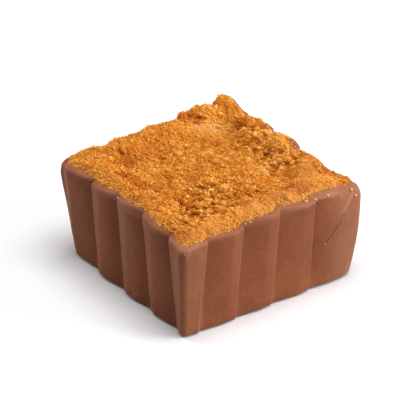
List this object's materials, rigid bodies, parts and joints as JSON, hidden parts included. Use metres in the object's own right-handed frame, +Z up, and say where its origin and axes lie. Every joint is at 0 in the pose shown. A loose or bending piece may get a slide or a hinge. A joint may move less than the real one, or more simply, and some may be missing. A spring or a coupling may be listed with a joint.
{
  "type": "filled chocolate",
  "caption": "Square fluted milk chocolate cup with leaning sides, its dished top covered in fine golden biscuit crumb.",
  "frame": {"origin": "middle of the flat base, at the height of the surface that it rests on", "axes": "+Z up, away from the flat base; X and Y run along the sides of the square"},
  "size_m": [0.0302, 0.0297, 0.0163],
  "materials": {
    "chocolate_case": "milk chocolate, soft satin sheen, moulded flutes",
    "crumb_topping": "fine golden biscuit crumb, dull and rough"
  },
  "bodies": {
    "root": {"chocolate_case": "chocolate_case", "crumb_topping": "crumb_topping"}
  },
  "joints": []
}
